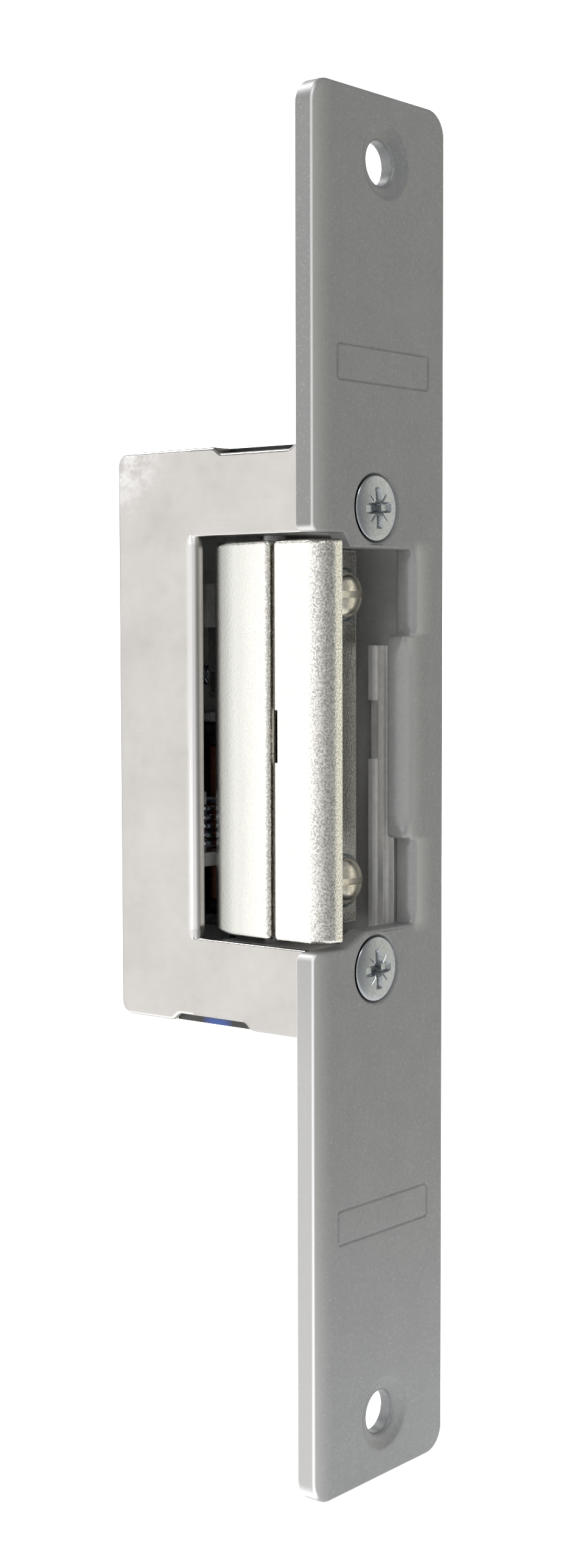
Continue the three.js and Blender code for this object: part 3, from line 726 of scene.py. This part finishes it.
# sections of the plate's holes from the front, as (radius, depth)
DISHED_HOLE = (
    (4.55, 0), (4.38, 0.02), (4.2, 0.08), (4.0, 0.19), (3.7, 0.35), (3.35, 0.47), (3.0, 0.56),
    (2.75, 0.66), (2.6, 0.8), (2.52, 1.0), (2.5, 1.25), (2.5, THICK - 0.12), (2.62, THICK),
)
SCREW_HOLE = (
    (4.32, 0), (4.18, 0.04), (4.04, 0.14), (2.32, 1.82), (2.22, 1.94), (2.2, 2.1),
    (2.2, THICK - 0.12), (2.32, THICK),
)
FIXING_X, FIXING_RISE = 0.8, 72.5
# the debossed frames: their groove from the outside in, as (step, depth), and their places
GROOVE = (
    (0, 0), (0.08, 0.03), (0.14, 0.10), (0.20, 0.14), (0.26, 0.14), (0.33, 0.08), (0.40, 0.02),
    (0.48, 0),
)
FRAME_HEIGHTS = (49.5, -48.6)


def plate_outline():
    """The plate from the front, as (x, z, how far its front edge is rounded)."""
    w, h = plate_high.x, plate_high.z
    soft = 0.4
    low, high = MIDDLE - NOTCH, MIDDLE + NOTCH
    under, over = MIDDLE - OPENING, MIDDLE + OPENING
    wall_round, tongue_round = 1.1, 2.0
    fades = ((0.0, 0.5), (0.35, 0.9), (0.8, 1.35), (1.4, 1.75), (2.2, tongue_round))
    corners = [
        (-w, -h, 3, soft),
        (w, -h, 3, soft),
        (w, h, 3, soft),
        (-w, h, 3, soft),
        (-w, high, 1.0, soft),
        (-6.5, high, 0.4, soft),
        (-5.3, over, 0.4, soft),
        (WALL_X, over, 0.5, 0.45),
        (WALL_X, over - 1.6, 0, wall_round),
        (WALL_X, TONGUE_TOP + 1.2, 0, wall_round),
        (WALL_X, TONGUE_TOP, 0.5, 0.55),
        (TONGUE_X, TONGUE_TOP, 0.6, 0.5),
    ]
    corners += [(TONGUE_X, TONGUE_TOP - 0.7 - d, 0, r) for d, r in fades]
    corners += [(TONGUE_X, TONGUE_FOOT + 0.7 + d, 0, r) for d, r in reversed(fades)]
    corners += [
        (TONGUE_X, TONGUE_FOOT, 0.6, 0.5),
        (WALL_X, TONGUE_FOOT, 0.5, 0.55),
        (WALL_X, TONGUE_FOOT - 1.2, 0, wall_round),
        (WALL_X, under + 1.6, 0, wall_round),
        (WALL_X, under, 0.5, 0.45),
        (-2.9, under, 0.4, soft),
        (-6.5, low, 0.4, soft),
        (-w, low, 1.0, soft),
    ]
    return rounded(corners, 9)


def faceplate():
    """The painted plate, with its opening, holes and two blank debossed frames."""
    outline = plate_outline()
    rounds = [p[2] for p in outline]
    mesh = Mesh()
    front, back = [], []
    steps = 6
    for k in range(steps + 1):
        t = math.pi / 2 * k / steps
        plan = inset(outline, [r * (1 - math.cos(t)) for r in rounds])
        front.append(
            mesh.ring([(p[0], r * (1 - math.sin(t)), p[1]) for p, r in zip(plan, rounds)])
        )
    back_round, steps = 0.3, 3
    for k in range(steps + 1):
        t = math.pi / 2 * k / steps
        plan = inset(outline, [back_round * (1 - math.cos(t))] * len(outline))
        depth = THICK - back_round * (1 - math.sin(t))
        back.append(mesh.ring([(p[0], depth, p[1]) for p in plan]))
    mesh.walls(list(reversed(front)) + back)

    front_holes, back_holes = [front[-1]], [back[-1]]
    sinks = [(FIXING_X, s * FIXING_RISE, DISHED_HOLE) for s in (1, -1)]
    sinks += [(BODY_SCREW_X, MIDDLE + s * BODY_SCREW_RISE, SCREW_HOLE) for s in (1, -1)]
    for x, z, section in sinks:
        rings = [mesh.ring([(a, y, b) for a, b in circle((x, z), r, 64)]) for r, y in section]
        mesh.walls(rings)
        front_holes.append(rings[0])
        back_holes.append(rings[-1])

    for z in FRAME_HEIGHTS:
        x, half, tall, turn = 0.65, 8.8, 2.2, 0.55
        corners = [(x - half, z - tall, turn), (x + half, z - tall, turn),
                   (x + half, z + tall, turn), (x - half, z + tall, turn)]
        plan = rounded(corners, 15)
        rings = []
        for step, depth in GROOVE:
            shifted = inset(plan, [step] * len(plan))
            rings.append(mesh.ring([(a, depth, b) for a, b in shifted]))
        mesh.walls(rings)
        front_holes.append(rings[0])
        mesh.cap(rings[-1])
    mesh.cap(*front_holes)
    mesh.cap(*back_holes)
    place("faceplate_fine", mesh.data("faceplate_fine"), "plate_paint", "housing", ["faceplate"])


faceplate()


# ------------------------------------------------------------------ cover

SHEET = 0.8  # thickness of the cover
BEND = 0.55  # outer radius of its bends
BEND_STEPS = 6
TOP_SLOT, BOTTOM_SLOT = (5.0, 15.2), (12.0, 22.0)  # from front to back
FLANGE_STOPS = {"top": -7.0, "bottom": 4.4}  # where the slots end across the flange
NOSING = 0.4  # how far the window's rounded ends stand into its opening
ROLL = 1.5  # radius of the window's rolled back edge
ROLL_Y = 19.2
ROLL_STEPS = 8
WINDOW_TOP = MIDDLE + NOTCH + NOSING
WINDOW_FOOT = MIDDLE - NOTCH - NOSING


def slot_points(y0, y1, edge, inward):
    """The dip in the panel's edge where a slot takes the flange away."""
    rise = 0.75 if inward < 0 else 0.85
    fade, lead, steps = 1.4, 1.2, 6
    points = [(y0 - fade, edge, "flange")]
    for k in range(1, steps + 1):
        t = k / steps
        depth = rise * (3 * t * t - 2 * t * t * t)
        points.append((y0 - lead + fade * t, edge + inward * depth, "slot"))
    for k in range(steps):
        t = 1 - k / steps
        depth = rise * (3 * t * t - 2 * t * t * t)
        points.append((y1 + lead - fade * t, edge + inward * depth, "slot"))
    points.append((y1 + fade, edge, "flange"))
    return points


def panel_edge():
    """The panel's outer edge in side view, as (y, z, kind) from the front top to the front foot."""
    front, back = cover_low.y, cover_high.y
    low, high = cover_low.z, cover_high.z
    corner = 1.6
    upper_turn = arc((back - corner, high - corner), corner, 90, 0, 12)
    lower_turn = arc((back - corner, low + corner), corner, 0, -90, 12)
    path = [(front, high, "flange")]
    path += slot_points(*TOP_SLOT, high, -1)
    path += [(y, z, "flange") for y, z in upper_turn + lower_turn]
    path += list(reversed(slot_points(*BOTTOM_SLOT, low, 1)))
    path += [(front, low, "flange")]
    return path


def inward_ways(path):
    """The direction at each point of the edge that points into the panel."""
    centre = Vector((cover_high.y / 2, MIDDLE))
    ways = []
    for i, (y, z, _) in enumerate(path):
        before = Vector(path[max(i - 1, 0)][:2])
        after = Vector(path[min(i + 1, len(path) - 1)][:2])
        along = (after - before).normalized()
        way = Vector((along.y, -along.x))
        ways.append(-way if way.dot(centre - Vector((y, z))) < 0 else way)
    return ways


def bend_and_flange(mesh, path):
    """The bend round the panel, and the flange behind it. Returns the bend's row on the panel."""
    side, far = cover_low.x, cover_high.x
    pairs = range(len(path) - 1)
    in_slot = ["slot" in (path[i][2], path[i + 1][2]) for i in pairs]
    bend = []
    for k in range(BEND_STEPS + 1):
        t = math.pi / 2 * k / BEND_STEPS
        inward = BEND * (1 - math.cos(t))
        row = []
        for (y, z, _), way in zip(path, inward_ways(path)):
            row.append((side + BEND * (1 - math.sin(t)), y + way.x * inward, z + way.y * inward))
        bend.append(mesh.ring(row))
    for k, (a, b) in enumerate(zip(bend, bend[1:])):
        for i in pairs:
            if k > 0 or not in_slot[i]:
                mesh.bm.faces.new((a[i], a[i + 1], b[i + 1], b[i]))

    # rows across the flange, first to where the slots end and then to its far edge
    stops, edge = [], []
    for y, z, kind in path:
        stop = FLANGE_STOPS["top" if z > MIDDLE else "bottom"]
        stops.append(mesh.bm.verts.new((stop, y, z)) if kind == "flange" else None)
    for y, z, kind in path:
        edge.append(mesh.bm.verts.new((far, y, z)) if kind == "flange" else None)
    for a, b in ((bend[0], stops), (stops, edge)):
        for i in pairs:
            if not in_slot[i]:
                mesh.bm.faces.new((a[i], a[i + 1], b[i + 1], b[i]))
    # the flange bridges each slot along its far edge
    for i in pairs:
        if path[i][2] == "flange" and path[i + 1][2] == "slot":
            j = i + 1
            while path[j][2] == "slot":
                j += 1
            mesh.bm.faces.new((stops[i], stops[j], edge[j], edge[i]))
    return bend[-1]


def window_roll(mesh):
    """The window's back edge, rolled inward and closed at both ends. Returns its outer row."""
    quarter = [math.pi / 2 * k / ROLL_STEPS for k in range(ROLL_STEPS + 1)]
    straight = WINDOW_TOP - WINDOW_FOOT - 2 * ROLL
    stations = [(WINDOW_TOP - ROLL * (1 - math.cos(t)), ROLL * math.sin(t)) for t in quarter]
    stations += [(WINDOW_TOP - ROLL - straight * k / 6, ROLL) for k in range(1, 6)]
    for t in reversed(quarter):
        stations.append((WINDOW_FOOT + ROLL * (1 - math.cos(t)), ROLL * math.sin(t)))
    rings = []
    for t in quarter:
        row = []
        for z, r in stations:
            reach = max(r, 0.02)
            row.append((cover_low.x + reach * (1 - math.cos(t)),
                        ROLL_Y + reach * (1 - math.sin(t)), z))
        rings.append(mesh.ring(row))
    mesh.walls(rings, closed=False)
    return rings[0]


def nosing(edge_z, outer):
    """A rounded end for the window, from its edge out to a height hidden in the panel."""
    side, skin = cover_low.x, 0.004
    profile = rounded([(side - skin, outer, 0), (side - skin, edge_z, 0.38),
                       (side + SHEET, edge_z, 0.15), (side + SHEET, outer, 0)], 9)
    return prism(profile, cover_low.y + 0.02, 20.1, 0.02, facing, 1).data("nosing")


def cover():
    """One bent sheet: a side panel with a window, and a flange round three edges."""
    side, front, back = cover_low.x, cover_low.y, cover_high.y
    mesh = Mesh()
    outer_row = bend_and_flange(mesh, panel_edge())
    window_row = window_roll(mesh)
    upper = mesh.bm.verts.new((side, front, WINDOW_TOP))
    lower = mesh.bm.verts.new((side, front, WINDOW_FOOT))
    mesh.cap(outer_row + [lower] + list(reversed(window_row)) + [upper])
    bmesh.ops.remove_doubles(mesh.bm, verts=mesh.bm.verts, dist=0.001)
    data = mesh.data("cover_fine")

    # the sheet is an open surface, so its outer side is found before it gets its thickness
    inside = Vector((0, (front + back) / 2 * MM, MIDDLE * MM))
    if sum((p.center - inside).dot(p.normal) * p.area for p in data.polygons) < 0:
        data.flip_normals()
    thicken = {"thickness": SHEET * MM, "offset": -1, "use_even_offset": True}
    data = settled("cover_fine", data, "SOLIDIFY", thicken)
    data = eased("cover_fine", data, 0.26, 3, 50)
    cutters = []
    for s in (1, -1):
        plug = turned([(0, 29), (1.6, 29), (1.6, 33), (0, 33)],
                      (COVER_SCREW_X, MIDDLE + s * COVER_SCREW_RISE), facing, 40)
        cutters.append(plug.data("cutter"))
    data = carved("cover_fine", data, cutters)
    ends = [nosing(MIDDLE + NOTCH, WINDOW_TOP + 0.4), nosing(MIDDLE - NOTCH, WINDOW_FOOT - 0.4)]
    place("cover_fine", joined([data, *ends]), "brushed_sheet", "housing", ["cover"], 40)


cover()


# ------------------------------------------------------------------ keeper and lip


def keeper():
    """The pivoting half barrel that holds the latch, with a bore for its pin."""
    edge = 0.65
    curve = [(x, y, edge) for x, y in arc(KEEPER_PIVOT, KEEPER_RADIUS, 45, 180, 40)]
    corners = rounded([(*curve[-1][:2], 0, edge), (-10.4, 8.1, 0.65, 0.5), (-9.3, 8.1, 0.2, 0.3),
                       (-9.3, 9.5, 0.25, 0.3), (4.4, 9.5, 0.4, 0.5), (4.4, 14.2, 0.6, 0.5),
                       (*curve[0][:2], 0, edge)], 15)
    outline = corners + curve[1:-1]
    low, high = keeper_low.z, keeper_high.z
    data = prism(outline, low, high, edge, upright, 5).data("keeper_fine")
    cutters = [
        turned([(0, -40), (1.58, -40), (1.58, 60), (0, 60)], KEEPER_PIVOT, upright, 40).data(
            "cutter"
        ),
        block(-5.6, -3.4, 18.4, 21, -2.8, 0.6),
    ]
    for s in (1, -1):
        hole = turned([(0, 8), (2.15, 8), (2.15, 14.4), (0, 14.4)],
                      (LIP_SCREW_X, MIDDLE + s * LIP_SCREW_RISE), facing, 40)
        cutters.append(hole.data("cutter"))
    data = carved("keeper_fine", data, cutters)
    tooth = prism([(-5.4, 18), (-1.9, 18), (-1.9, 22), (-4.6, 22), (-5.4, 21.2)], 12, 15, 0.3,
                  upright, 3).data("tooth")
    place("keeper_fine", joined([data, tooth]), "nickel", "keeper", ["keeper"], 38)


def lip():
    """The angled lip: a nosed bar that meets the latch and a slotted leg on the keeper."""
    half = 22.8
    nose_radius = 2.4
    nose = arc((-8.1, nose_radius), nose_radius, 180, 270, 18)
    outline = rounded([(*nose[-1], 0, 0.6), (-7.0, 0, 0.18, 0.4), (-7.0, 7.3, 0.3, 0.4),
                       (-10.5, 7.3, 0.35, 0.6), (*nose[0], 0, 0.6)], 12)
    outline += [(x, y, 0.6) for x, y in nose[1:-1]]
    low, high = MIDDLE - half, MIDDLE + half
    bar = prism(outline, low, high, 0.6, upright, 5).data("bar")
    bar = carved("bar", bar, [block(-11.5, -8.5, 6.7, 8.3, 4.6, 10.6)])
    leg_outline = rounded([(-7.4, 6.5, 0.1, 0.2), (4.2, 6.5, 0.5, 0.4), (4.2, 9.2, 0.5, 0.4),
                           (-7.4, 9.2, 0.4, 0.2)], 15)
    leg = prism(leg_outline, MIDDLE - 22, MIDDLE + 22, 0.35, upright, 3).data("leg")
    cutters = []
    for s in (1, -1):
        z = MIDDLE + s * LIP_SCREW_RISE
        r, near, far = 2.2, 0.1, 2.2
        slot = rounded([(near - r, z - r, r - 0.01), (far + r, z - r, r - 0.01),
                        (far + r, z + r, r - 0.01), (near - r, z + r, r - 0.01)], 12)
        mesh = Mesh()
        rings = [mesh.ring([(a, y, b) for a, b in slot]) for y in (5, 10)]
        mesh.walls(rings)
        mesh.cap(rings[0])
        mesh.cap(rings[1])
        cutters.append(mesh.data("cutter"))
    leg = carved("leg", leg, cutters)
    place("keeper_lip_fine", joined([bar, leg]), "nickel", "lip", ["keeper_lip"], 38)


keeper()
lip()


# ------------------------------------------------------------------ screws and washers


def tapered(x, z, turn, sections):
    """A cutter bar turned about (x, z), from (y, half length, half width, fillet) sections."""
    mesh = Mesh()
    t = math.radians(turn)
    rings = []
    for y, reach, half, fillet in sections:
        plan = rounded([(-reach, -half, fillet), (reach, -half, fillet), (reach, half, fillet),
                        (-reach, half, fillet)], 30)
        rings.append(mesh.ring([(x + a * math.cos(t) - b * math.sin(t), y,
                                 z + a * math.sin(t) + b * math.cos(t)) for a, b in plan]))
    mesh.walls(rings)
    mesh.cap(rings[0])
    mesh.cap(rings[-1])
    return mesh.data("cutter")


def cross_cutter(x, z, front):
    """A Pozidriv recess: a tapered cross, its deeper middle and fine marks between the arms."""
    arm = ((front - 0.4, 2.9, 0.85, 0.2), (front + 0.5, 2.0, 0.36, 0.2))
    core = ((front, 1.1, 0.62, 0.15), (front + 1.3, 0.8, 0.34, 0.15))
    mark = ((front - 0.4, 2.9, 0.42, 0.0), (front + 0.24, 1.9, 0.03, 0.0))
    tools = []
    for turn in (4, 94):
        tools.append(tapered(x, z, turn, arm))
        tools.append(tapered(x, z, turn, core))
    for turn in (49, 139):
        tools.append(tapered(x, z, turn, mark))
    return tools


def body_screw(name, side):
    """A countersunk screw that holds the box to the faceplate, with a cross recess."""
    x, z = BODY_SCREW_X, MIDDLE + side * BODY_SCREW_RISE
    profile = [(0, -0.4), (0.7, -0.39), (1.4, -0.36), (2.0, -0.31), (2.6, -0.23), (3.1, -0.15),
               (3.45, -0.07), (3.62, -0.01), (3.72, 0.06), (3.75, 0.14), (3.68, 0.24),
               (1.9, 2.0), (1.9, 10.3), (1.8, 10.4), (0, 10.4)]
    data = turned(profile, (x, z), facing, 72).data(name)
    data = carved(name, data, cross_cutter(x, z, -0.38))
    place(name + "_fine", data, "zinc", "housing", [name], 40)


def lip_screw(name, side):
    """A domed slotted screw that clamps the lip to the keeper."""
    x, z = LIP_SCREW_X, MIDDLE + side * LIP_SCREW_RISE
    profile = [(0, 4.4), (0.6, 4.41), (1.1, 4.45), (1.6, 4.57), (2.0, 4.73), (2.35, 4.95),
               (2.58, 5.18), (2.68, 5.35), (2.7, 5.45), (2.62, 5.5), (1.9, 5.5), (1.9, 13.9),
               (1.8, 14.0), (0, 14.0)]
    data = turned(profile, (x, z), facing, 64).data(name)
    data = carved(name, data, [block(x - 4, x + 4, 2.0, 5.0, z - 0.4, z + 0.4)])
    place(name + "_fine", data, "smooth_nickel", "keeper", [name], 40, slot="nickel")


for name, side in (("upper", 1), ("lower", -1)):
    body_screw("body_screw_" + name, side)
    lip_screw("lip_screw_" + name, side)
    centre = (LIP_SCREW_X, MIDDLE + side * LIP_SCREW_RISE)
    ring = washer(centre, 2.1, 3.2, 5.75, 6.25, facing)
    place("lip_washer_" + name + "_fine", ring.data("washer"), "zinc", "keeper",
          ["lip_washer_" + name], 50)


# ------------------------------------------------------------------ frame and inner parts

refined("frame", "diecast", "housing", 0.22)
refined("keeper_pin", "steel", "housing", 0.2, 3)
refined("pawl", "steel", "pawl", 0.2)
refined("pawl_pin", "zinc", "housing", 0.15)
refined("coil_bobbin", "black_plastic", "housing", 0.12)
refined("coil_core", "steel", "housing", 0.12)
refined("coil_yoke", "steel", "housing", 0.25)
refined("yoke_screw", "zinc", "housing", 0.12)
refined("armature", "steel", "armature", 0.2)

# a thin sheet on the terminal block, near black as painted shade, closes the slot at the cover's
# foot
shade_sheet = block(-9.55, -8.8, 11.4, 22.9, cover_low.z + 0.06, cover_low.z + 2.4)
refined("terminal_block", "blue_plastic", "housing", 0.35, 3, 35, [shade_sheet])
for name in ("upper", "lower"):
    refined("cover_screw_" + name, "zinc", "housing", 0.08)
for name in ("left", "right"):
    refined("terminal_screw_" + name, "brass", "housing", 0.1)
    refined("terminal_clamp_" + name, "zinc", "housing", 0.1)
refined("coil_winding", "copper", "housing", 0.1)
for name in ("keeper_spring", "pawl_spring", "armature_spring"):
    refined(name, "spring_steel", "housing", 0.02, 1, 60)
for name in ("outer", "inner"):
    refined("coil_lead_" + name, "lead_sleeve", "housing", 0.02, 1, 60)


# ------------------------------------------------------------------ floor, world and lights

# The light tent round the object, as (direction, brightness, warmth). Directions 0 and 1 are
# -X, 0.25 is -Y, 0.5 is +X and 0.75 is +Y.
ROOM_LIGHT = (
    (0.00, 0.62, 0.0),
    (1.00, 0.62, 0.0),
    (0.04, 0.42, 0.0),
    (0.11, 0.34, 0.0),
    (0.15, 0.19, 0.0),
    (0.20, 0.07, 0.0),
    (0.34, 0.05, 0.0),
    (0.385, 0.46, 0.10),
    (0.43, 0.56, 0.10),
    (0.49, 0.40, 0.0),
    (0.555, 0.92, 0.0),
    (0.665, 0.92, 0.0),
    (0.72, 0.30, 0.0),
    (0.80, 0.36, 0.0),
    (0.87, 0.84, 0.0),
    (0.94, 0.90, 0.0),
)


def shell(name, floor, radius, height, look):
    """A floor that curves up into a round wall, so that no edge shows."""
    mesh = Mesh()
    cove, steps = 600, 12
    profile = [(radius * k, floor) for k in (0.13, 0.45, 1.0)]
    for k in range(1, steps + 1):
        t = math.pi / 2 * k / steps
        profile.append((radius + cove * math.sin(t), floor + cove * (1 - math.cos(t))))
    profile.append((radius + cove, floor + height))
    rings = []
    for reach, level in profile:
        rings.append(mesh.ring([(a, b, level) for a, b in circle((0, 0), reach, 96)]))
    mesh.walls(rings)
    mesh.cap(rings[0])
    data = mesh.data(name)
    for polygon in data.polygons:
        polygon.use_smooth = True
    data.materials.append(look.material)
    piece = bpy.data.objects.new(name, data)
    bpy.context.scene.collection.objects.link(piece)
    return piece


def paper_look(name, glow):
    """Matt pale paper that gives off light of its own."""
    look = Look(name, Roughness=0.9, Emission_Strength=glow)
    grain = look.noise(look.stretched((0.004, 0.004, 0.004)))
    look.drive("Base Color", look.blend(grain, grey(0.44), grey(0.48)))
    return look


def stage():
    """A plain pale floor and wall, and a light tent just inside it that only lights the part."""
    plain = paper_look("studio_paper", 1.1)
    plain.shader.inputs["Emission Color"].default_value = (1, 1, 1, 1)
    shell("studio_floor", plate_low.z - 0.3, 1600, 1600, plain)

    look = paper_look("tent_cloth", 1.3)
    round_room = look.new("TexGradient", {"Vector": look.coords.outputs["Object"]})
    round_room.gradient_type = "RADIAL"
    ramp = look.new("ValToRGB", {"Fac": round_room.outputs["Fac"]})
    ramp.color_ramp.interpolation = "EASE"
    stops = ramp.color_ramp.elements
    for i, (where, level, warm) in enumerate(ROOM_LIGHT):
        stop = stops[i] if i < 2 else stops.new(where)
        stop.position = where
        stop.color = (level, level * (1 - warm * 0.3), level * (1 - warm * 2), 1)
    place_m = look.coords.outputs["Object"]
    flat = look.new("VectorMath", {0: place_m, 1: (1, 1, 0)}, operation="MULTIPLY").outputs[0]
    reach = look.new("VectorMath", {0: flat}, operation="LENGTH").outputs["Value"]
    under_part = (0.82, 0.82, 0.82, 1)
    away = look.between(reach, 30 * MM, 150 * MM)
    look.drive("Emission Color", look.blend(away, under_part, ramp.outputs["Color"]))
    tent = shell("light_tent", plate_low.z - 0.2, 1500, 1500, look)
    tent.visible_camera = False


def lamp(name, place_m, target_m, size, power):
    """A square area lamp, with its places and size in metres."""
    data = bpy.data.lights.new(name, "AREA")
    data.shape = "SQUARE"
    data.size = size
    data.energy = power
    light = bpy.data.objects.new(name, data)
    light.location = place_m
    way = Vector(target_m) - Vector(place_m)
    light.rotation_mode = "QUATERNION"
    light.rotation_quaternion = way.to_track_quat("-Z", "Y")
    bpy.context.scene.collection.objects.link(light)
    return light


def sky(strength):
    """An even white world."""
    world = bpy.data.worlds.new("world")
    world.use_nodes = True
    world.node_tree.nodes["Background"].inputs["Color"].default_value = (1, 1, 1, 1)
    world.node_tree.nodes["Background"].inputs["Strength"].default_value = strength
    bpy.context.scene.world = world


stage()
sky(0.35)
lamp("edge_light", (0.05, 0.75, 0.95), (0, 0.01, 0), 0.5, 4)
left_light = lamp("left_light", (-0.9, -0.12, -0.04), (0, 0, -0.03), 0.15, 2.4)
left_light.visible_glossy = False  # it lights the paint and leaves no glare on the metal
lamp("top_light", (-0.50, -0.48, 0.80), (0, 0, 0), 0.3, 2.0)
bpy.context.scene.view_settings.view_transform = "Standard"
